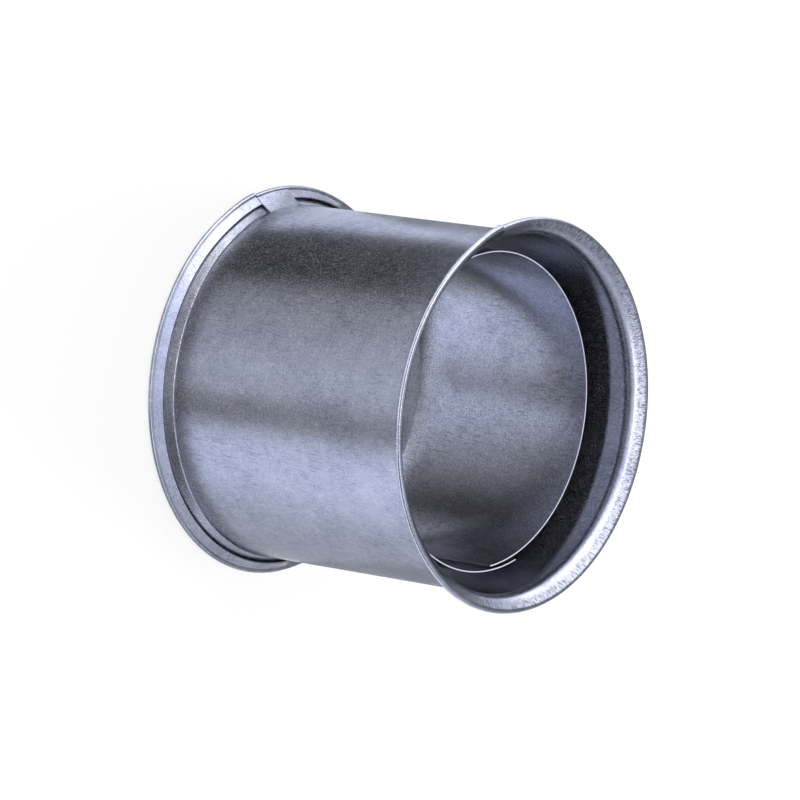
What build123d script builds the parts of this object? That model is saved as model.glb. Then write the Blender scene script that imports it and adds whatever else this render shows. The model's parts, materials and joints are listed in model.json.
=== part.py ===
# Double wall flue pipe. A rolled outer sleeve has a flared mouth and a hooked hem at its rear end,
# and a shorter spring liner lies inside it on the same axis, held by bent spacer clips.
# Millimetres. The axis is +Z, from the rear hem up to the mouth, and z = 0 is the hem's flat underside.
import os
from math import atan2, ceil, cos, degrees, radians, sin

from build123d import *

# Spring liner with an open lap: directions are turns about the axis from +X
liner_bore_diameter = 151.0
liner_sheet = 0.6
liner_length = 105.0
liner_rear_setback = 27.0
liner_inner_edge = 14.8
liner_round_turn = 298.0
liner_lap_length = 18.5
liner_lap_spring = 2.8

# Outer sleeve, wider than the liner by an air gap
air_gap = 9.5
sleeve_length = 156.0
sleeve_sheet = 0.7

# Flared lip at the mouth, with its edge rolled outward into a small bead
lip_bend_radius = 8.0
lip_lean = 48.0
lip_length = 4.7
bead_radius = 1.6
bead_turn = 230.0

# Hooked hem at the rear end: a sloping neck, a flange, a fold and a leg that leans back towards the sleeve
hem_overhang = 8.9
hem_neck_lean = 28.0
hem_neck_length = 8.2
hem_neck_top_radius = 3.0
hem_neck_foot_radius = 2.2
hem_fold_height = 2.3
hem_fold_width = 1.3
hem_ledge = 2.0
hem_leg_lean = 46.0
hem_leg_length = 4.6

# Turn of each short flat that a bend is drawn with: a flat stays about a tenth of a millimetre from the round
lip_flat_turn = 16.0
bead_flat_turn = 38.5
neck_flat_turn = 31.0
fold_flat_turn = 45.0

# Lapped seam of the sleeve, with a joggle where the outer layer steps over the inner one
lap_inner_edge = 204.5
lap_length = 21.0
lap_clearance = 0.15
lap_joggle_bend = 8.0
lap_butt_clearance = 0.6
lap_cover_rise = 4.6

# Spacer clips between the liner and the sleeve
spacer_directions = (75.0, 180.0, 285.0)
spacer_sheet = 0.8
spacer_width = 20.0
spacer_crown_length = 16.0
spacer_foot_length = 10.0
spacer_bend_radius = 0.7
weld_clearance = 0.1

# Derived sizes
liner_inner = liner_bore_diameter / 2
liner_outer = liner_inner + liner_sheet
sleeve_inner = liner_outer + air_gap
sleeve_outer = sleeve_inner + sleeve_sheet
hem_outer = sleeve_outer + hem_overhang
lap_step = sleeve_sheet + lap_clearance

# The hem's crease, its leg's free edge and the way that the leg faces, in the section's plane
hem_crease = Vector(hem_outer - hem_ledge, hem_fold_height)
hem_leg = Vector(-1, 0).rotate(Axis.Z, -hem_leg_lean)
hem_edge = hem_crease + hem_leg * hem_leg_length
hem_leg_normal = hem_leg.rotate(Axis.Z, -90)

# The neck's way out from the wall, and the centres of the bends at its two ends
hem_neck_way = Vector(0, -1).rotate(Axis.Z, hem_neck_lean)
hem_neck_normal = hem_neck_way.rotate(Axis.Z, -90)
hem_neck_reach = hem_neck_normal * (hem_neck_top_radius - hem_neck_foot_radius) + hem_neck_way * hem_neck_length
hem_neck_top = Vector(sleeve_inner + hem_neck_top_radius, hem_neck_foot_radius - hem_neck_reach.Y)
hem_neck_foot = hem_neck_top + hem_neck_reach

# The lip's way out from the wall, its upper side's normal, and the centres of its bend and its bead
lip_way = Vector(0, 1).rotate(Axis.Z, -lip_lean)
lip_normal = lip_way.rotate(Axis.Z, 90)
lip_reach = lip_normal * (lip_bend_radius - bead_radius) + lip_way * lip_length
lip_centre = Vector(sleeve_inner + lip_bend_radius, sleeve_length - bead_radius - lip_reach.Y)
bead_centre = lip_centre + lip_reach


# Turn about an axis parallel to Z, at a place on the X axis
def turned(angle, axis_x=0):
    return Pos(axis_x, 0) * Rot(Z=angle) * Pos(-axis_x, 0)


# Section in the XZ plane, rolled about an axis parallel to Z, at a place on the X axis
def rolled(section, angle, axis_x=0):
    direction = (0, 0, 1 if angle > 0 else -1)
    return revolve(section, Axis((axis_x, 0, 0), direction), abs(angle))


# Corner between two faces, moved out by a distance along both of their normals
def mitred(corner, first, second, distance):
    return corner + (first + second) * (distance / (1 + first.dot(second)))


# Points of an oval bend, along short flats that mesh lightly
def bend(centre, half_width, half_height, start, turn, flat_turn):
    flats = ceil(turn / flat_turn)
    angles = [radians(start + turn * step / flats) for step in range(flats + 1)]
    return [centre + Vector(half_width * cos(angle), half_height * sin(angle)) for angle in angles]


# Face of the sheet at a depth from the bore's side: the lip's bend, from its outer end down to the wall
def lip_face(depth):
    radius = lip_bend_radius - depth
    return bend(lip_centre, radius, radius, 180 - lip_lean, lip_lean, lip_flat_turn)


# The same face with the lip's bead, from the bead's free edge
def beaded_face(depth):
    radius = bead_radius - depth
    start = 180 - lip_lean - bead_turn
    return bend(bead_centre, radius, radius, start, bead_turn, bead_flat_turn) + lip_face(depth)


# The same face in the lap's outer layer, which ends under the lip, short of the bead
def tucked_face(depth):
    tuck_length = lip_length - bead_radius - lap_clearance
    lip_end = lip_centre + lip_normal * (lip_bend_radius - depth) + lip_way * tuck_length
    return [lip_end, *lip_face(depth)]


# The same face from the foot of the wall along the hem, to its leg's free edge
def hem_face(depth):
    top = hem_neck_top_radius - depth
    foot = hem_neck_foot_radius - depth
    neck = bend(hem_neck_top, top, top, 180, hem_neck_lean, neck_flat_turn)
    neck += bend(hem_neck_foot, foot, foot, 180 + hem_neck_lean, 90 - hem_neck_lean, neck_flat_turn)
    fold_centre = Vector(hem_outer - hem_fold_width, hem_fold_height / 2)
    fold = bend(fold_centre, hem_fold_width - depth, hem_fold_height / 2 - depth, -90, 180, fold_flat_turn)
    crease = mitred(hem_crease, Vector(0, 1), hem_leg_normal, -depth)
    return [*neck, *fold, crease, hem_edge - hem_leg_normal * depth]


# The same face in the lap's outer layer, which slopes out from the wall and covers the hem's leg
def cover_face(depth):
    lift = depth - lap_step
    neck = Vector(sleeve_inner + lap_step, hem_edge.Y + lap_cover_rise)
    edge = hem_edge + hem_leg_normal * lap_clearance
    slope_normal = (edge - neck).rotate(Axis.Z, 90).normalized()
    neck = mitred(neck, Vector(1, 0), slope_normal, lift)
    edge = mitred(edge, slope_normal, hem_leg_normal, lift)
    return [neck, edge, hem_crease + hem_leg_normal * (lap_clearance + lift)]


# Closed section of the sleeve's sheet between its two faces
def sleeve_section(mouth_face, rear_face, bore_depth):
    far_depth = bore_depth + sleeve_sheet
    bore_side = mouth_face(bore_depth) + rear_face(bore_depth)
    far_side = mouth_face(far_depth) + rear_face(far_depth)
    return Plane.XZ * make_face(Polyline(*bore_side, *reversed(far_side), close=True))


# The sleeve is one sheet: a round length, a joggle that lifts it over its own edge, and the lap's outer layer
def outer_sleeve():
    hemmed = sleeve_section(beaded_face, hem_face, 0)
    covering = sleeve_section(tucked_face, cover_face, lap_step)

    # Two equal and opposite bends of the joggle, with their axes moved along the section's radius
    half_bend = radians(lap_joggle_bend)
    reach = Vector(2 * cos(half_bend) - 1, 2 * sin(half_bend))
    shift = lap_step / (reach.length - 1)
    joggle_turn = degrees(atan2(reach.Y, reach.X))
    outward = rolled(hemmed, -lap_joggle_bend, -shift)
    inward = turned(-lap_joggle_bend, -shift) * rolled(hemmed, lap_joggle_bend - joggle_turn, shift)

    butt_turn = degrees(lap_butt_clearance / sleeve_outer)
    round_length = rolled(hemmed, 360 - joggle_turn - butt_turn)
    lap = turned(lap_inner_edge) * rolled(covering, -degrees(lap_length / sleeve_outer))
    return turned(lap_inner_edge + joggle_turn) * (round_length + outward + inward) + lap


# The liner is round over most of its turn, then springs outward so that its ends lap without touching
def inner_liner():
    with BuildSketch(Plane.XZ) as section:
        with Locations((liner_inner, liner_rear_setback)):
            Rectangle(liner_sheet, liner_length, align=(Align.MIN, Align.MIN))
    lap_turn = degrees(liner_lap_length / liner_outer)
    spring_turn = 360 - liner_round_turn + lap_turn
    shift = liner_lap_spring / (1 - cos(radians(spring_turn)))
    round_length = rolled(section.sketch, liner_round_turn)
    spring_end = turned(liner_round_turn) * rolled(section.sketch, spring_turn, -shift)
    return turned(liner_inner_edge) * (round_length + spring_end)


# Ring sector about the origin, even about +X
def sector(inner, outer, length):
    half_turn = degrees(length / outer) / 2
    inner_arc = CenterArc((0, 0), inner, -half_turn, 2 * half_turn)
    outer_arc = CenterArc((0, 0), outer, -half_turn, 2 * half_turn)
    ends = [Line(inner_arc @ end, outer_arc @ end) for end in (0, 1)]
    return make_face([inner_arc, outer_arc, *ends])


# Hat section clip: two feet on the liner, two upright legs and a crown against the sleeve
def spacer(direction):
    foot_face = liner_outer + weld_clearance
    crown_face = sleeve_inner - weld_clearance
    foot_span = spacer_crown_length + 2 * spacer_foot_length
    hollow_span = spacer_crown_length - 2 * spacer_sheet
    hat = sector(foot_face, crown_face, spacer_crown_length)
    hat += sector(foot_face, foot_face + spacer_sheet, foot_span)
    hat -= sector(foot_face - spacer_sheet, crown_face - spacer_sheet, hollow_span)
    clip = extrude(hat, spacer_width)
    bends = clip.edges().filter_by(Axis.Z).sort_by(lambda edge: abs(edge.center().Y))[:-4]
    middle = liner_rear_setback + liner_length / 2
    return turned(direction) * Pos(Z=middle - spacer_width / 2) * fillet(bends, spacer_bend_radius)


pieces = {"outer_sleeve": outer_sleeve(), "inner_liner": inner_liner()}
for number, direction in enumerate(spacer_directions, start=1):
    pieces[f"spacer_{number}"] = spacer(direction)

os.makedirs("parts", exist_ok=True)
for name, piece in pieces.items():
    export_step(piece, f"parts/{name}.step")
    print(name, round(piece.volume, 1), piece.bounding_box().size)
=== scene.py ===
import json
from math import cos, exp, pi, radians, sin

import bpy
from mathutils import Matrix, Vector


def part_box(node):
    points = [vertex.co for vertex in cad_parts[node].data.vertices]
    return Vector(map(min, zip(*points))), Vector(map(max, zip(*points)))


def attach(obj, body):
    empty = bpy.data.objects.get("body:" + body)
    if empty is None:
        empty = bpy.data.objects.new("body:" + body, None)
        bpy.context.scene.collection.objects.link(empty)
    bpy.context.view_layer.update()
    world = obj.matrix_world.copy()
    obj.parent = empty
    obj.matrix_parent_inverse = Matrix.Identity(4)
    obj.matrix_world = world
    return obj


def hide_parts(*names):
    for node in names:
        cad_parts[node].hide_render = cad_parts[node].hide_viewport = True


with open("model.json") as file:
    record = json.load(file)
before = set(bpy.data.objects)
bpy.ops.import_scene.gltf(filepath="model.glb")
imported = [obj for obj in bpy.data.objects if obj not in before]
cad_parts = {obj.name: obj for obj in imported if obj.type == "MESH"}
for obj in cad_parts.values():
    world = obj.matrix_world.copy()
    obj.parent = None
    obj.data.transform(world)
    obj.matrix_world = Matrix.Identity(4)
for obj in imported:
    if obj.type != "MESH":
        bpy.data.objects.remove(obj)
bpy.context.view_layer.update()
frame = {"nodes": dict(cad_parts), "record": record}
print("frame loaded, nodes:", sorted(frame["nodes"]))

mm = 0.001
scene = bpy.context.scene
scene.view_settings.view_transform = "Standard"


# sRGB hex to the linear colour that a shader takes
def linear(hexColour):
    channels = [int(hexColour[i:i + 2], 16) / 255 for i in (1, 3, 5)]
    return [c / 12.92 if c <= 0.04045 else ((c + 0.055) / 1.055) ** 2.4 for c in channels] + [1.0]


# One node with its settings, and its inputs as values or as links from other nodes' outputs
def addNode(tree, kind, settings=None, inputs=None):
    node = tree.nodes.new(kind)
    for name, value in (settings or {}).items():
        setattr(node, name, value)
    for name, value in (inputs or {}).items():
        socket = node.inputs[name]
        if isinstance(value, bpy.types.NodeSocket):
            tree.links.new(value, socket)
        else:
            socket.default_value = value
    return node


def newMaterial(name):
    material = bpy.data.materials.new(name)
    material.use_nodes = True
    material.node_tree.nodes.clear()
    return material, material.node_tree


# Hot-dip galvanised sheet: a soft blue-grey mirror with a fine crystal mottle, rolling lines along the pipe,
# short dark streaks in patches, pits, pale flecks of thick zinc, bright scratches from handling, faint stains
# and, on a lip, the short folds of its crimping, with painted shade over the lip that is darkest in the folds'
# hollows. Pairs are limits of a pattern, between which a mark sets in
zincFacts = {
    "colour": "#D6D8E2",
    "dull": "#A3A6B5",
    # dark colour of the streaks and pits, also used for the painted shade over a crimped lip
    "sootAndShade": "#2B2D36",
    "bare": "#F6F7FC",
    "rust": "#8C7C76",
    "patchSize": 26 * mm,
    "spangleSize": 3.2 * mm,
    "grainSize": 0.8 * mm,  # zinc grain is nearer 0.2 mm, drawn coarser so that it shows
    "rollWidth": 0.55 * mm,
    "rollLength": 7 * mm,
    "streakWidth": 0.7 * mm,
    "streakLength": 6 * mm,
    "fleckSpacing": 4.5 * mm,
    "scratchLength": 5 * mm,
    "scratchWidth": 0.3 * mm,
    "stainSize": 22 * mm,
    "crimpWidth": 0.7 * mm,
    "crimpLength": 1.8 * mm,
    "crimpDepth": 0.25 * mm,
    "mottle": 2.5,  # half of the pattern's range from dull to bright zinc
    "streak": (0.31, 0.42),
    "streakPull": -0.6,  # streaks come where patches are dull
    "pit": (0.36, 0.24),
    "fleck": (0.11, 0.04),
    "scratch": (0.74, 0.80),
    "stain": (0.54, 0.70),
    "crimp": (0.48, 0.34),
    # shares of painted shade over the lip: least on the folds' crests, most in their hollows
    "crimpShade": (0.22, 0.7),
    "grainBump": 0.6,
    "grain": (0.3, 0.7),
    "patina": (0.50, 0.72),
    "cleanMetal": 0.985,
    "shelteredGloss": 0.35,
}


# Shares of each mark on one piece, and the lip that is crimped as it is rolled, if the piece has one
def zincSheet(name, marks, lip=None):
    facts = zincFacts
    material, tree = newMaterial(name)
    place = addNode(tree, "ShaderNodeTexCoord").outputs["Object"]
    patch = addNode(tree, "ShaderNodeTexNoise", None, {
        "Vector": place, "Scale": 1 / facts["patchSize"], "Detail": 3.0, "Roughness": 0.6}).outputs["Fac"]
    spangle = addNode(tree, "ShaderNodeTexVoronoi", None, {
        "Vector": place, "Scale": 1 / facts["spangleSize"]}).outputs["Color"]
    grain = addNode(tree, "ShaderNodeTexNoise", None, {
        "Vector": place, "Scale": 1 / facts["grainSize"], "Detail": 3.0, "Roughness": 0.75}).outputs["Fac"]
    fleck = addNode(tree, "ShaderNodeTexVoronoi", None, {
        "Vector": place, "Scale": 1 / facts["fleckSpacing"]}).outputs["Distance"]
    stain = addNode(tree, "ShaderNodeTexNoise", None, {
        "Vector": place, "Scale": 1 / facts["stainSize"], "Detail": 4.0, "Roughness": 0.65}).outputs["Fac"]

    # patterns that are longer along the pipe than across it, or the other way round
    drawn = []
    for across, along in (("rollWidth", "rollLength"), ("streakWidth", "streakLength"),
                          ("scratchLength", "scratchWidth")):
        scale = (1 / facts[across], 1 / facts[across], 1 / facts[along])
        spot = addNode(tree, "ShaderNodeMapping", None, {"Vector": place, "Scale": scale})
        drawn.append(addNode(tree, "ShaderNodeTexNoise", None, {
            "Vector": spot.outputs["Vector"], "Scale": 1.0, "Detail": 1.0}).outputs["Fac"])
    rolled, streak, scratch = drawn

    # sheet colour: dull and bright zinc mixed by crystals, patches, rolling lines and grain
    blend = addNode(tree, "ShaderNodeSeparateColor", None, {"Color": spangle}).outputs["Red"]
    for layer, weight in ((patch, marks["patches"]), (rolled, marks["rolled"]), (grain, marks["grain"])):
        blend = addNode(tree, "ShaderNodeMath", {"operation": "MULTIPLY_ADD"}, {
            0: layer, 1: weight, 2: blend}).outputs["Value"]
    middle = 0.5 + (marks["patches"] + marks["rolled"] + marks["grain"]) / 2
    share = addNode(tree, "ShaderNodeMapRange", None, {
        "Value": blend, "From Min": middle - facts["mottle"],
        "From Max": middle + facts["mottle"]}).outputs["Result"]
    colour = addNode(tree, "ShaderNodeMix", {"data_type": "RGBA"}, {
        "Factor": share, 6: linear(facts["dull"]), 7: linear(facts["colour"])}).outputs[2]

    # marks laid over it, each from one limit of its pattern to another
    streak = addNode(tree, "ShaderNodeMath", {"operation": "MULTIPLY_ADD"}, {
        0: patch, 1: facts["streakPull"], 2: streak}).outputs["Value"]
    layers = [(streak, "streak", "streaks", "sootAndShade"), (grain, "pit", "pits", "sootAndShade"),
              (fleck, "fleck", "flecks", "bare"), (scratch, "scratch", "flecks", "bare"),
              (stain, "stain", "stain", "rust")]
    for pattern, mark, amount, tint in layers:
        low, high = facts[mark]
        cover = addNode(tree, "ShaderNodeMapRange", None, {
            "Value": pattern, "From Min": low, "From Max": high, "To Max": marks[amount]}).outputs["Result"]
        colour = addNode(tree, "ShaderNodeMix", {"data_type": "RGBA"}, {
            "Factor": cover, 6: colour, 7: linear(facts[tint])}).outputs[2]
    normal = addNode(tree, "ShaderNodeBump", None, {
        "Height": grain, "Strength": facts["grainBump"], "Distance": marks["relief"]}).outputs["Normal"]

    if lip:
        # short folds across the lip, bumped into its normal, with painted shade over the lip that is darkest
        # in their hollows
        flat = addNode(tree, "ShaderNodeVectorMath", {"operation": "MULTIPLY"}, {
            0: place, 1: (1.0, 1.0, 0.0)}).outputs["Vector"]
        turn = addNode(tree, "ShaderNodeVectorMath", {"operation": "NORMALIZE"}, {0: flat}).outputs["Vector"]
        radius = addNode(tree, "ShaderNodeVectorMath", {"operation": "LENGTH"}, {0: flat}).outputs["Value"]
        height = addNode(tree, "ShaderNodeSeparateXYZ", None, {"Vector": place}).outputs["Z"]
        along = addNode(tree, "ShaderNodeVectorMath", {"operation": "MULTIPLY"}, {
            0: place, 1: (0.0, 0.0, 1 / facts["crimpLength"])}).outputs["Vector"]
        around = lip["inside"][0] / facts["crimpWidth"]
        spot = addNode(tree, "ShaderNodeVectorMath", {"operation": "MULTIPLY_ADD"}, {
            0: turn, 1: (around, around, 0.0), 2: along}).outputs["Vector"]
        fold = addNode(tree, "ShaderNodeTexNoise", None, {
            "Vector": spot, "Scale": 1.0, "Detail": 2.0}).outputs["Fac"]
        onLip = 1.0
        for value, (low, high) in ((radius, lip["inside"]), (radius, lip["outside"]), (height, lip["foot"])):
            onLip = addNode(tree, "ShaderNodeMapRange", None, {
                "Value": value, "From Min": low, "From Max": high, "To Max": onLip}).outputs["Result"]
        # painted shade: the whole lip is darkened towards the dark colour, lightly on the folds' crests and
        # most in their hollows
        low, high = facts["crimp"]
        least, most = facts["crimpShade"]
        hollowShade = addNode(tree, "ShaderNodeMapRange", None, {
            "Value": fold, "From Min": low, "From Max": high,
            "To Min": least, "To Max": most}).outputs["Result"]
        hollowShade = addNode(tree, "ShaderNodeMath", {"operation": "MULTIPLY"}, {
            0: hollowShade, 1: onLip}).outputs["Value"]
        colour = addNode(tree, "ShaderNodeMix", {"data_type": "RGBA"}, {
            "Factor": hollowShade, 6: colour, 7: linear(facts["sootAndShade"])}).outputs[2]
        normal = addNode(tree, "ShaderNodeBump", None, {
            "Height": fold, "Strength": onLip, "Distance": facts["crimpDepth"],
            "Normal": normal}).outputs["Normal"]

    dull, glossy = marks["gloss"]
    low, high = facts["grain"]
    roughness = addNode(tree, "ShaderNodeMapRange", None, {
        "Value": grain, "From Min": low, "From Max": high,
        "To Min": dull, "To Max": glossy}).outputs["Result"]
    if lip:
        # the sheltered inner wall keeps more of its gloss, so the liner's edge shows in it
        low, high = lip["shelter"]
        kept = addNode(tree, "ShaderNodeMapRange", None, {
            "Value": radius, "From Min": low, "From Max": high,
            "To Min": facts["shelteredGloss"]}).outputs["Result"]
        roughness = addNode(tree, "ShaderNodeMath", {"operation": "MULTIPLY"}, {
            0: roughness, 1: kept}).outputs["Value"]
    # specks of patina scatter a little light, so they show where the sheet mirrors something dark
    low, high = facts["patina"]
    metal = addNode(tree, "ShaderNodeMapRange", None, {
        "Value": grain, "From Min": low, "From Max": high,
        "To Min": facts["cleanMetal"], "To Max": marks["metal"]})
    shader = addNode(tree, "ShaderNodeBsdfPrincipled", None, {
        "Base Color": colour, "Metallic": metal.outputs["Result"], "Roughness": roughness, "Normal": normal})
    addNode(tree, "ShaderNodeOutputMaterial", None, {"Surface": shader.outputs["BSDF"]})
    return material


sharpFold = radians(28)
squareCorner = radians(120)


# A sheet rolled about the pipe's axis: the tree sweeps a closed section along an arc, which may rise outward
# near its end so that the sheet laps over itself
def rolledSheetTree():
    tree = bpy.data.node_groups.new("rolledSheet", "GeometryNodeTree")
    sockets = (("Section", "Object"), ("Radius", "Float"), ("Start", "Float"), ("Turn", "Float"),
               ("Steps", "Int"), ("Rise", "Float"), ("Rise From", "Float"), ("Rise To", "Float"),
               ("Waviness", "Float"), ("Wave Length", "Float"), ("Material", "Material"))
    tree.interface.new_socket("Geometry", in_out="OUTPUT", socket_type="NodeSocketGeometry")
    for name, kind in sockets:
        tree.interface.new_socket(name, in_out="INPUT", socket_type="NodeSocket" + kind)
    given = addNode(tree, "NodeGroupInput").outputs

    arc = addNode(tree, "GeometryNodeCurveArc", {"mode": "RADIUS"}, {
        "Resolution": given["Steps"], "Radius": 1.0, "Start Angle": given["Start"],
        "Sweep Angle": given["Turn"]})
    along = addNode(tree, "GeometryNodeSplineParameter").outputs["Factor"]
    turned = addNode(tree, "ShaderNodeMath", {"operation": "MULTIPLY"}, {0: along, 1: given["Turn"]})
    rise = addNode(tree, "ShaderNodeMapRange", {"interpolation_type": "SMOOTHSTEP"}, {
        "Value": turned.outputs["Value"], "From Min": given["Rise From"], "From Max": given["Rise To"],
        "To Min": 0.0, "To Max": given["Rise"]})
    radius = addNode(tree, "ShaderNodeMath", {"operation": "ADD"}, {
        0: rise.outputs["Result"], 1: given["Radius"]})
    spot = addNode(tree, "GeometryNodeInputPosition").outputs["Position"]
    spot = addNode(tree, "ShaderNodeVectorMath", {"operation": "SCALE"}, {
        0: spot, "Scale": radius.outputs["Value"]}).outputs["Vector"]
    path = addNode(tree, "GeometryNodeSetPosition", None, {
        "Geometry": arc.outputs["Curve"], "Position": spot})
    path = addNode(tree, "GeometryNodeSetCurveNormal", {"mode": "Z_UP"}, {"Curve": path.outputs["Geometry"]})
    section = addNode(tree, "GeometryNodeObjectInfo", None, {"Object": given["Section"]})
    sheet = addNode(tree, "GeometryNodeCurveToMesh", None, {
        "Curve": path.outputs["Curve"], "Profile Curve": section.outputs["Geometry"], "Fill Caps": True})

    # slow dents, left by the rolls, that push both faces of the sheet the same way
    place = addNode(tree, "GeometryNodeInputPosition").outputs["Position"]
    flat = addNode(tree, "ShaderNodeVectorMath", {"operation": "MULTIPLY"}, {0: place, 1: (1.0, 1.0, 0.0)})
    outward = addNode(tree, "ShaderNodeVectorMath", {"operation": "NORMALIZE"}, {0: flat.outputs["Vector"]})
    pitch = addNode(tree, "ShaderNodeMath", {"operation": "DIVIDE"}, {0: 1.0, 1: given["Wave Length"]})
    wave = addNode(tree, "ShaderNodeTexNoise", None, {
        "Vector": place, "Scale": pitch.outputs["Value"], "Detail": 1.0})
    wave = addNode(tree, "ShaderNodeMath", {"operation": "SUBTRACT"}, {0: wave.outputs["Fac"], 1: 0.5})
    wave = addNode(tree, "ShaderNodeMath", {"operation": "MULTIPLY"}, {
        0: wave.outputs["Value"], 1: given["Waviness"]})
    push = addNode(tree, "ShaderNodeVectorMath", {"operation": "SCALE"}, {
        0: outward.outputs["Vector"], "Scale": wave.outputs["Value"]})
    sheet = addNode(tree, "GeometryNodeSetPosition", None, {
        "Geometry": sheet.outputs["Mesh"], "Offset": push.outputs["Vector"]})

    # smooth over the bends, sharp along cut edges and creases
    fold = addNode(tree, "GeometryNodeInputMeshEdgeAngle").outputs["Unsigned Angle"]
    gentle = addNode(tree, "FunctionNodeCompare", {"data_type": "FLOAT", "operation": "LESS_THAN"}, {
        "A": fold, "B": sharpFold})
    sheet = addNode(tree, "GeometryNodeSetShadeSmooth", {"domain": "EDGE"}, {
        "Geometry": sheet.outputs["Geometry"], "Shade Smooth": gentle.outputs["Result"]})
    sheet = addNode(tree, "GeometryNodeSetShadeSmooth", {"domain": "FACE"}, {
        "Geometry": sheet.outputs["Geometry"]})
    sheet = addNode(tree, "GeometryNodeRealizeInstances", None, {"Geometry": sheet.outputs["Geometry"]})
    sheet = addNode(tree, "GeometryNodeSetMaterial", None, {
        "Geometry": sheet.outputs["Geometry"], "Material": given["Material"]})
    addNode(tree, "NodeGroupOutput", None, {"Geometry": sheet.outputs["Geometry"]})
    return tree


# Sharp corners of a section eased by a small cut, as a sheared edge is
def eased(points, cut):
    result = []
    for i, corner in enumerate(points):
        before = points[i - 1] - corner
        after = points[(i + 1) % len(points)] - corner
        if before.angle(after) < squareCorner and min(before.length, after.length) > 2 * cut:
            result += [corner + before.normalized() * cut, corner + after.normalized() * cut]
        else:
            result.append(corner)
    return result


# Section curve for the tree: radii are measured from the path, and heights run down the curve's own Y
def sectionCurve(name, points, pathRadius):
    curve = bpy.data.curves.new(name, "CURVE")
    curve.dimensions = "3D"
    spline = curve.splines.new("POLY")
    spline.points.add(len(points) - 1)
    for point, spot in zip(spline.points, points):
        point.co = (spot.x - pathRadius, -spot.y, 0, 1)
    spline.use_cyclic_u = True
    holder = bpy.data.objects.new(name, curve)
    scene.collection.objects.link(holder)
    return holder


# Runs the tree with these inputs, and keeps its result as a plain mesh at the origin
def rollSheet(name, tree, inputs):
    piece = bpy.data.objects.new(name, bpy.data.meshes.new(name))
    scene.collection.objects.link(piece)
    modifier = piece.modifiers.new("rolledSheet", "NODES")
    modifier.node_group = tree
    for socket in tree.interface.items_tree:
        if socket.in_out == "INPUT":
            modifier[socket.identifier] = inputs[socket.name]
    evaluated = piece.evaluated_get(bpy.context.evaluated_depsgraph_get())
    mesh = bpy.data.meshes.new_from_object(evaluated)
    piece.modifiers.remove(modifier)
    piece.data = mesh
    mesh.name = name
    print(name, len(mesh.polygons), "faces")
    return piece


def joined(name, pieces):
    with bpy.context.temp_override(active_object=pieces[0], selected_editable_objects=pieces):
        bpy.ops.object.join()
    pieces[0].name = name
    pieces[0].data.name = name
    return pieces[0]


def bend(centre, halfWidth, halfHeight, start, turn, steps):
    angles = [radians(start + turn * i / steps) for i in range(steps + 1)]
    return [centre + Vector((halfWidth * cos(a), halfHeight * sin(a))) for a in angles]


def run(first, last, steps):
    return [first.lerp(last, i / steps) for i in range(1, steps)]


# Corner between two faces, moved by a distance along both of their normals
def mitred(corner, first, second, distance):
    return corner + (first + second) * (distance / (1 + first.dot(second)))


sheetTree = rolledSheetTree()

# Outer sleeve
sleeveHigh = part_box("outer_sleeve")[1]
boreRadius = frame["record"]["mounts"][0]["dims"]["r_mm"] * mm
linerSheet = 0.6 * mm
airGap = 9.5 * mm
sleeveFacts = {
    "sheet": 0.7 * mm,
    "wall": boreRadius + linerSheet + airGap,
    "length": sleeveHigh.z,
    "rim": sleeveHigh.x,
    "lipBend": 8.0 * mm,
    "lipLean": 48,
    "lipLength": 4.7 * mm,
    "bead": 1.6 * mm,
    "beadTurn": 230,
    "neckLean": 28,
    "neckLength": 8.2 * mm,
    "neckTop": 3.0 * mm,
    "neckFoot": 2.2 * mm,
    "foldHeight": 2.3 * mm,
    "foldWidth": 1.3 * mm,
    "ledge": 2.0 * mm,
    "legLean": 46,
    "legLength": 4.6 * mm,
    "lapEdge": 204.5,
    "lapLength": 21 * mm,
    "lapClearance": 0.15 * mm,
    "buttClearance": 0.6 * mm,
    "joggleTurn": 16,
    "coverRise": 4.6 * mm,
    "edgeCut": 0.12 * mm,
    "waviness": 0.10 * mm,
    "waveLength": 45 * mm,
    "roundSteps": 400,
    "lapSteps": 24,
    "wallSteps": 24,
    "lipSteps": 4,
    "lipBendSteps": 14,
    "beadSteps": 26,
    "neckSteps": 5,
    "neckBendSteps": 8,
    "foldSteps": 16,
}


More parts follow.
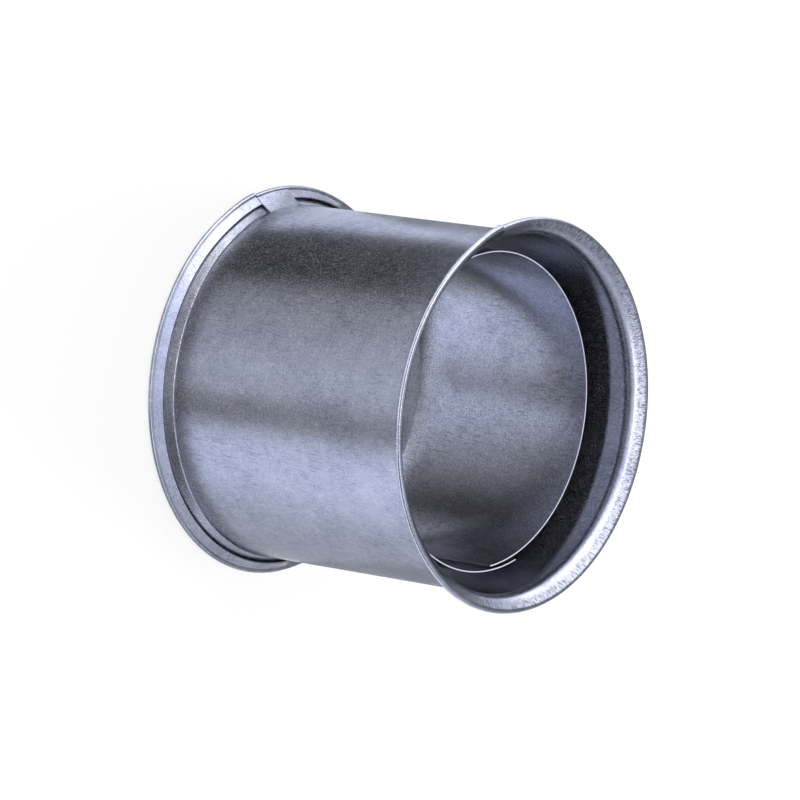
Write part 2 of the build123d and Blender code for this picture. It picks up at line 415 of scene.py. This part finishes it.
def sleeveSections(facts):
    step = facts["sheet"] + facts["lapClearance"]
    crease = Vector((facts["rim"] - facts["ledge"], facts["foldHeight"]))
    lean = radians(facts["legLean"])
    leg = Vector((-cos(lean), sin(lean)))
    legNormal = Vector((sin(lean), cos(lean)))
    edge = crease + leg * facts["legLength"]

    neckTurn = radians(facts["neckLean"])
    neckWay = Vector((sin(neckTurn), -cos(neckTurn)))
    neckNormal = Vector((-cos(neckTurn), -sin(neckTurn)))
    neckReach = neckNormal * (facts["neckTop"] - facts["neckFoot"]) + neckWay * facts["neckLength"]
    neckTop = Vector((facts["wall"] + facts["neckTop"], facts["neckFoot"] - neckReach.y))

    lipTurn = radians(facts["lipLean"])
    lipWay = Vector((sin(lipTurn), cos(lipTurn)))
    lipNormal = Vector((-cos(lipTurn), sin(lipTurn)))
    lipReach = lipNormal * (facts["lipBend"] - facts["bead"]) + lipWay * facts["lipLength"]
    lipCentre = Vector((facts["wall"] + facts["lipBend"], facts["length"] - facts["bead"] - lipReach.y))

    def lipFace(depth):
        radius = facts["lipBend"] - depth
        start = 180 - facts["lipLean"]
        return bend(lipCentre, radius, radius, start, facts["lipLean"], facts["lipBendSteps"])

    def beadedFace(depth):
        radius = facts["bead"] - depth
        start = 180 - facts["lipLean"] - facts["beadTurn"]
        bead = bend(lipCentre + lipReach, radius, radius, start, facts["beadTurn"], facts["beadSteps"])
        lip = lipFace(depth)
        return bead + run(bead[-1], lip[0], facts["lipSteps"]) + lip

    # the lap's outer layer ends under the lip, short of the bead
    def tuckedFace(depth):
        length = facts["lipLength"] - facts["bead"] - facts["lapClearance"]
        return [lipCentre + lipNormal * (facts["lipBend"] - depth) + lipWay * length] + lipFace(depth)

    def hemFace(depth):
        top, foot = facts["neckTop"] - depth, facts["neckFoot"] - depth
        lean, steps = facts["neckLean"], facts["neckBendSteps"]
        neck = bend(neckTop, top, top, 180, lean, steps)
        neckEnd = bend(neckTop + neckReach, foot, foot, 180 + lean, 90 - lean, steps)
        neck += run(neck[-1], neckEnd[0], facts["neckSteps"]) + neckEnd
        halfFold = facts["foldHeight"] / 2
        foldCentre = Vector((facts["rim"] - facts["foldWidth"], halfFold))
        fold = bend(foldCentre, facts["foldWidth"] - depth, halfFold - depth, -90, 180, facts["foldSteps"])
        bent = mitred(crease, Vector((0, 1)), legNormal, -depth)
        return neck + fold + [bent, edge - legNormal * depth]

    # the lap's outer layer slopes out from the wall and covers the hem's leg
    def coverFace(depth):
        lift = depth - step
        neck = Vector((facts["wall"] + step, edge.y + facts["coverRise"]))
        over = edge + legNormal * facts["lapClearance"]
        slope = (over - neck).normalized()
        slopeNormal = Vector((-slope.y, slope.x))
        neck = mitred(neck, Vector((1, 0)), slopeNormal, lift)
        over = mitred(over, slopeNormal, legNormal, lift)
        return [neck, over, crease + legNormal * (facts["lapClearance"] + lift)]

    def closed(mouthFace, rearFace, depth):
        sides = []
        for d in (depth, depth + facts["sheet"]):
            mouth = mouthFace(d)
            rear = rearFace(d)
            sides.append(mouth + run(mouth[-1], rear[0], facts["wallSteps"]) + rear)
        return eased(sides[0] + sides[1][::-1], facts["edgeCut"])

    return closed(beadedFace, hemFace, 0), closed(tuckedFace, coverFace, step)


# Radii and heights between which the lip's folds and their painted shade set in, and those over which the
# inner wall ends
lipFacts = {
    "inside": (88 * mm, 89.5 * mm),
    "outside": (93 * mm, 92.3 * mm),
    "foot": (sleeveHigh.z - 9 * mm, sleeveHigh.z - 8 * mm),
    "shelter": (85.75 * mm, 86.1 * mm),
}
zincWall = zincSheet("galvanisedSheetSleeve", {
    "patches": 4.0, "rolled": 2.0, "grain": 9.0, "streaks": 0.2, "pits": 0.45, "flecks": 0.5, "stain": 0.0,
    "relief": 0.08 * mm, "gloss": (0.25, 0.14), "metal": 0.72}, lipFacts)
hemmed, covering = sleeveSections(sleeveFacts)
lapTurn = sleeveFacts["lapLength"] / (sleeveFacts["wall"] + sleeveFacts["sheet"])
buttTurn = sleeveFacts["buttClearance"] / sleeveFacts["wall"]
lapStart = radians(sleeveFacts["lapEdge"])
# the round length starts raised, in line with the lap's outer layer, and the joggle lowers it to its radius
common = {
    "Material": zincWall, "Radius": sleeveFacts["wall"], "Waviness": sleeveFacts["waviness"],
    "Wave Length": sleeveFacts["waveLength"], "Rise From": radians(sleeveFacts["joggleTurn"]), "Rise To": 0.0}
sleeveRound = rollSheet("sleeveRound", sheetTree, common | {
    "Section": sectionCurve("hemmedSection", hemmed, sleeveFacts["wall"]),
    "Start": lapStart, "Turn": 2 * pi - buttTurn, "Steps": sleeveFacts["roundSteps"],
    "Rise": sleeveFacts["sheet"] + sleeveFacts["lapClearance"]})
sleeveLap = rollSheet("sleeveLap", sheetTree, common | {
    "Section": sectionCurve("coverSection", covering, sleeveFacts["wall"]),
    "Start": lapStart - lapTurn, "Turn": lapTurn, "Steps": sleeveFacts["lapSteps"], "Rise": 0.0})
outerSleeve = joined("outerSleeve", [sleeveRound, sleeveLap])

# Inner liner: round over most of its turn, then springing outward to its open lap
linerLow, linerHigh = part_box("inner_liner")
linerFacts = {
    "sheet": linerSheet,
    "innerEdge": 14.8,
    "roundTurn": 298,
    "lapLength": 18.5 * mm,
    "spring": 2.8 * mm,
    "edgeCut": 0.22 * mm,
    "waviness": 0.22 * mm,
    "waveLength": 38 * mm,
    "turnSteps": 420,
    "wallSteps": 28,
}


def linerSection(facts):
    inside = boreRadius
    outside = boreRadius + facts["sheet"]
    inner = [Vector((inside, linerHigh.z)), Vector((inside, linerLow.z))]
    outer = [Vector((outside, linerLow.z)), Vector((outside, linerHigh.z))]
    steps = facts["wallSteps"]
    points = [inner[0]] + run(*inner, steps) + [inner[1], outer[0]] + run(*outer, steps) + [outer[1]]
    return eased(points, facts["edgeCut"])


zincLiner = zincSheet("galvanisedSheetLiner", {
    "patches": 1.0, "rolled": 0.6, "grain": 20.0, "streaks": 0.3, "pits": 0.9, "flecks": 0.2, "stain": 0.4,
    "relief": 0.06 * mm, "gloss": (0.16, 0.09), "metal": 0.9})
linerLapTurn = linerFacts["lapLength"] / boreRadius
roundTurn = radians(linerFacts["roundTurn"])
springTurn = 2 * pi - roundTurn + linerLapTurn
# only the first half of the smooth rise is rolled, so it is asked for twice as high and twice as long
innerLiner = rollSheet("innerLiner", sheetTree, {
    "Section": sectionCurve("linerSection", linerSection(linerFacts), boreRadius),
    "Material": zincLiner, "Radius": boreRadius, "Waviness": linerFacts["waviness"],
    "Wave Length": linerFacts["waveLength"], "Start": radians(linerFacts["innerEdge"]),
    "Turn": 2 * pi + linerLapTurn, "Steps": linerFacts["turnSteps"], "Rise": 2 * linerFacts["spring"],
    "Rise From": roundTurn, "Rise To": roundTurn + 2 * springTurn})

# Sheared steel: the liner's front edge is torn fine by the cut, so it scatters light and reads as a white
# line
cutFacts = {"colour": "#DCE1F0", "metal": 0.2, "roughness": 0.5}
shearedSteel, tree = newMaterial("shearedSteel")
shader = addNode(tree, "ShaderNodeBsdfPrincipled", None, {
    "Base Color": linear(cutFacts["colour"]), "Metallic": cutFacts["metal"],
    "Roughness": cutFacts["roughness"]})
addNode(tree, "ShaderNodeOutputMaterial", None, {"Surface": shader.outputs["BSDF"]})
innerLiner.data.materials.append(shearedSteel)
for polygon in innerLiner.data.polygons:
    if polygon.center.z > linerHigh.z - linerFacts["edgeCut"]:
        polygon.material_index = 1

for name in ("hemmedSection", "coverSection", "linerSection"):
    bpy.data.objects.remove(bpy.data.objects[name])

zincClip = zincSheet("galvanisedSheetClip", {
    "patches": 4.0, "rolled": 2.0, "grain": 8.0, "streaks": 0.3, "pits": 0.3, "flecks": 0.2, "stain": 0.0,
    "relief": 0.06 * mm, "gloss": (0.30, 0.17), "metal": 0.8})
for name, node in frame["nodes"].items():
    if name.startswith("spacer"):
        node.data.materials.clear()
        node.data.materials.append(zincClip)

for piece, nodeName in ((outerSleeve, "outer_sleeve"), (innerLiner, "inner_liner")):
    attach(piece, "root")
    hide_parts(nodeName)
print("pieces ride on the frame")

# Floor: white to the eye and in the metal, with part of its shading kept for the soft shadow
floorFacts = {"size": 8.0, "level": -0.2 * mm, "colour": "#F4F4F4", "shadow": 0.3}


def flatMesh(name, points, faces, material):
    mesh = bpy.data.meshes.new(name)
    mesh.from_pydata(points, [], faces)
    mesh.materials.append(material)
    piece = bpy.data.objects.new(name, mesh)
    scene.collection.objects.link(piece)
    return piece


# Faces between the points of a grid, given row by row
def gridFaces(points, width):
    starts = [width * row + k for row in range(len(points) // width - 1) for k in range(width - 1)]
    return [(a, a + 1, a + width + 1, a + width) for a in starts]


floorPaper, tree = newMaterial("floorPaper")
path = addNode(tree, "ShaderNodeLightPath").outputs
seen = addNode(tree, "ShaderNodeMath", {"operation": "MAXIMUM"}, {
    0: path["Is Camera Ray"], 1: path["Is Glossy Ray"]}).outputs["Value"]
seen = addNode(tree, "ShaderNodeMath", {"operation": "MAXIMUM"}, {
    0: seen, 1: path["Is Transmission Ray"]}).outputs["Value"]
share = addNode(tree, "ShaderNodeMath", {"operation": "MULTIPLY"}, {
    0: seen, 1: 1 - floorFacts["shadow"]}).outputs["Value"]
paper = addNode(tree, "ShaderNodeBsdfDiffuse", None, {"Color": linear(floorFacts["colour"])})
white = addNode(tree, "ShaderNodeEmission", None, {"Color": (1, 1, 1, 1), "Strength": 1.0})
mixed = addNode(tree, "ShaderNodeMixShader", None, {
    0: share, 1: paper.outputs["BSDF"], 2: white.outputs["Emission"]})
addNode(tree, "ShaderNodeOutputMaterial", None, {"Surface": mixed.outputs["Shader"]})
half = floorFacts["size"] / 2
corners = ((-half, -half), (half, -half), (half, half), (-half, half))
flatMesh("floor", [(x, y, floorFacts["level"]) for x, y in corners], [(0, 1, 2, 3)], floorPaper)

# Cards and panels that only the metal's reflections meet: they cast no shade and light nothing else. Their
# tint turns bluer up to a level of 1, and is neutral again where they glare
toneFacts = {"dim": "#F6F6F9", "bright": "#DFE7FF", "glare": 2.4}


def toneCard(name, points, faces, levels):
    material, tree = newMaterial(name)
    tone = addNode(tree, "ShaderNodeAttribute", {"attribute_name": "tone"}).outputs["Color"]
    glow = addNode(tree, "ShaderNodeEmission", None, {"Color": tone, "Strength": 1.0})
    addNode(tree, "ShaderNodeOutputMaterial", None, {"Surface": glow.outputs["Emission"]})
    piece = flatMesh(name, points, faces, material)
    dim, bright = Vector(linear(toneFacts["dim"])), Vector(linear(toneFacts["bright"]))
    tones = []
    for value in levels:
        tones.extend(dim.lerp(bright, min(value, 1, max(toneFacts["glare"] - value, 0))) * value)
    piece.data.attributes.new("tone", "FLOAT_COLOR", "POINT").data.foreach_set("color", tones)
    for sight in ("camera", "diffuse", "transmission", "shadow"):
        setattr(piece, "visible_" + sight, False)
    return piece


def levelAt(angle, levels):
    for (a, low), (b, high) in zip(levels, levels[1:]):
        if a <= angle <= b:
            return low + (high - low) * (angle - a) / (b - a)


# Graded card on the floor. Each line of it runs where one side of the sleeve looks, so a level in the list
# tones that side from end to end: degrees round from the camera's side, upward in the picture. The wall's foot
# meets the near share of a line, and only bends look as far as the far share
cardFacts = {
    "start": sleeveHigh.x + 1.5 * mm,
    "reach": 0.7,
    "near": (0, 0.006),
    "nearLevel": 0.12,
    "middle": (0.02, 0.32),
    "levels": ((-90, 0.55), (-70, 0.55), (-56, 0.65), (-46, 0.80), (-36, 1.06), (-26, 1.15), (-21, 0.92),
               (-15, 0.31), (-10, 0.31), (-5, 0.61), (2, 0.69), (14, 0.53), (28, 0.36), (32, 0.23),
               (37, 0.05), (58, 0.05), (60, 0.78), (66, 0.92), (80, 0.88), (90, 0.88)),
    "far": (0.36, 1),
    "farLevel": 1.8,
}
points, levels = [], []
for angle in range(-90, 91):
    side = radians(-90 - angle)
    look = radians(-90 - 2 * angle)
    foot = Vector((cos(side), sin(side), 0)) * cardFacts["start"]
    reach = Vector((cos(look), sin(look), 0)) * cardFacts["reach"]
    tone = levelAt(angle, cardFacts["levels"])
    for zone, level in (("near", cardFacts["nearLevel"]), ("middle", tone), ("far", cardFacts["farLevel"])):
        points += [foot + reach * share for share in cardFacts[zone]]
        levels += [level] * len(cardFacts[zone])
toneCard("gradedCard", points, gridFaces(points, 6), levels)

# Dark card behind the pipe, which draws the thin dark outline of the rims
backFacts = {"near": 0.098, "far": 0.34, "level": 0.16, "turns": (20, 160), "step": 10}
first, last = backFacts["turns"]
points = []
for turn in range(first, last + 1, backFacts["step"]):
    way = Vector((cos(radians(turn)), sin(radians(turn)), 0))
    points += [way * backFacts["near"], way * backFacts["far"]]
toneCard("backCard", points, gridFaces(points, 2), [backFacts["level"]] * len(points))

# Card under the bore. Each side of the hollow liner looks along a chord, and the chords part again beyond the
# middle plane, so the card is ruled by them and a level tones one side: degrees round the axis, where 90 is
# the side across from the camera. Past the rim it is dark
boreFacts = {
    "rim": (80 * mm, 86 * mm, 94 * mm),
    "rimLevel": 0.1,
    "lean": 8 * mm,  # the dark sides keep a little of the far side of the plane
    "sides": (30, 150),
    "levels": ((30, 0.36), (36, 0.42), (42, 0.28), (47, 0.09), (53, 0.08), (60, 0.18), (70, 0.40), (80, 0.56),
               (87, 0.84), (93, 0.84), (96, 0.54), (103, 0.48), (105, 0.76), (116, 1.02), (131, 1.06),
               (136, 0.6), (141, 0.34), (150, 0.16)),
    "fade": (1.1, 0.75),  # at the middle plane and at the rim
}
first, last = boreFacts["sides"]
points, levels = [], []
for angle in range(first, last + 1):
    far = radians(3 * angle)
    tone = levelAt(angle, boreFacts["levels"])
    side = radians(angle)
    look = Vector((-sin(2 * side), cos(2 * side), 0))
    length = (boreRadius - boreFacts["lean"] * (1 if angle < 90 else -1)) / (2 * sin(side))
    points.append(Vector((cos(side), sin(side), 0)) * boreRadius + look * length)
    points += [Vector((cos(far), sin(far), 0)) * radius for radius in boreFacts["rim"]]
    levels += [tone * fade for fade in boreFacts["fade"]] + [boreFacts["rimLevel"]] * 2
toneCard("boreCard", points, gridFaces(points, 4), levels)

# Studio round the pipe: soft panels, each a turn from +X, a height and a level, blended over the whole dome
studioFacts = {
    "radius": 2.2,
    "lowest": -5,
    "step": 5,
    "sharpness": 45,
    "panels": ((128, 0, 0.7), (147, 12, 2.4), (165, 20, 2.3), (186, 30, 2.5), (210, 38, 2.2), (240, 45, 1.5),
               (270, 47, 1.15), (301, 45, 1.0), (330, 39, 0.9), (355, 30, 0.76), (16, 20, 0.7), (35, 10, 0.6),
               (52, 0, 0.45), (90, 38, 0.28), (85, 3, 0.3), (100, 25, 0.2), (112, 20, 0.2), (160, 3, 0.5),
               (190, 5, 0.25), (215, 15, 0.2), (242, 19, 0.2), (270, 20, 0.2), (298, 19, 0.12),
               (325, 15, 0.08), (350, 8, 0.08), (14, 0, 0.3), (270, 80, 0.6), (90, 70, 0.6)),
}


def facing(turn, height):
    turn, height = radians(turn), radians(height)
    return Vector((cos(turn) * cos(height), sin(turn) * cos(height), sin(height)))


panels = [(facing(turn, height), value) for turn, height, value in studioFacts["panels"]]
points, levels, faces = [], [], []
heights = range(studioFacts["lowest"], 91, studioFacts["step"])
turns = range(0, 360, studioFacts["step"])
for height in heights:
    for turn in turns:
        way = facing(turn, height)
        shares = [exp(studioFacts["sharpness"] * (way.dot(panel) - 1)) for panel, value in panels]
        levels.append(sum(share * value for share, (panel, value) in zip(shares, panels)) / sum(shares))
        points.append(way * studioFacts["radius"])
for row in range(len(heights) - 1):
    for i in range(len(turns)):
        a, b = row * len(turns) + i, row * len(turns) + (i + 1) % len(turns)
        faces.append((a, b, b + len(turns), a + len(turns)))
toneCard("studio", points, faces, levels)

# Bowed strip lights, which bends, the bead and cut edges catch as thin white lines, and a dark strip that
# sets off the crease of the lap's cover
stripRadius = 2.0
stripStep = 5
stripFacts = {
    "high": {"turns": (200, 340), "middle": 61, "ends": 50, "width": 7, "level": 3.5},
    "lap": {"turns": (138, 163), "middle": 1.5, "ends": 1.5, "width": 9, "level": 0.15},
    "low": {"turns": (170, 300), "middle": 3, "ends": 2.5, "width": 5, "level": 3.4},
}
for name, strip in stripFacts.items():
    first, last = strip["turns"]
    points = []
    for turn in range(first, last + 1, stripStep):
        bow = (2 * (turn - first) / (last - first) - 1) ** 2
        height = strip["middle"] + (strip["ends"] - strip["middle"]) * bow
        for side in (-0.5, 0.5):
            points.append(facing(turn, height + side * strip["width"]) * stripRadius)
    toneCard(name + "Strip", points, gridFaces(points, 2), [strip["level"]] * len(points))
print("floor, cards and studio set")

# World: plain white, to the eye and as light
world = bpy.data.worlds.new("studio")
scene.world = world
world.use_nodes = True
world.node_tree.nodes.clear()
sky = addNode(world.node_tree, "ShaderNodeBackground", None, {"Color": (1, 1, 1, 1), "Strength": 1.0})
addNode(world.node_tree, "ShaderNodeOutputWorld", None, {"Surface": sky.outputs["Background"]})

lampAim = Vector((0, 0, 80 * mm))
lampFacts = {
    "key": {"place": (0.1, 1.25, 1.15), "size": 0.9, "power": 14},
    "fill": {"place": (-1.2, -0.6, 1.3), "size": 1.0, "power": 8},
}
for name, facts in lampFacts.items():
    lamp = bpy.data.lights.new(name, "AREA")
    lamp.size = facts["size"]
    lamp.energy = facts["power"]
    holder = bpy.data.objects.new(name, lamp)
    holder.location = facts["place"]
    holder.rotation_euler = (lampAim - holder.location).to_track_quat("-Z", "Y").to_euler()
    holder.visible_glossy = False
    scene.collection.objects.link(holder)

# Camera: the pipe stands on its rear rim, and the picture is turned so that it lies as in the photograph
cameraFacts = {
    "elevation": 39.2,
    "roll": 98.4,
    "distance": 2.791,
    "target": (0, 0, 79.35 * mm),
    "lens": 261.6,
    "sensor": 36,
    "farthest": 50,
    "imageSize": 800,
    "offCentre": (3.0, -2.2),  # pixels of the target right of and below the middle
}
elevation = radians(cameraFacts["elevation"])
roll = radians(cameraFacts["roll"])
back = Vector((0, -cos(elevation), sin(elevation)))
level = Vector((1, 0, 0))
rise = Vector((0, sin(elevation), cos(elevation)))
right = level * cos(roll) + rise * sin(roll)
up = rise * cos(roll) - level * sin(roll)
cameraData = bpy.data.cameras.new("camera")
cameraData.lens = cameraFacts["lens"]
cameraData.sensor_width = cameraFacts["sensor"]
cameraData.clip_end = cameraFacts["farthest"]
cameraData.shift_x = -cameraFacts["offCentre"][0] / cameraFacts["imageSize"]
cameraData.shift_y = cameraFacts["offCentre"][1] / cameraFacts["imageSize"]
camera = bpy.data.objects.new("camera", cameraData)
spot = Vector(cameraFacts["target"]) + back * cameraFacts["distance"]
camera.matrix_world = Matrix.Translation(spot) @ Matrix((right, up, back)).transposed().to_4x4()
scene.collection.objects.link(camera)
scene.camera = camera
print("camera set")
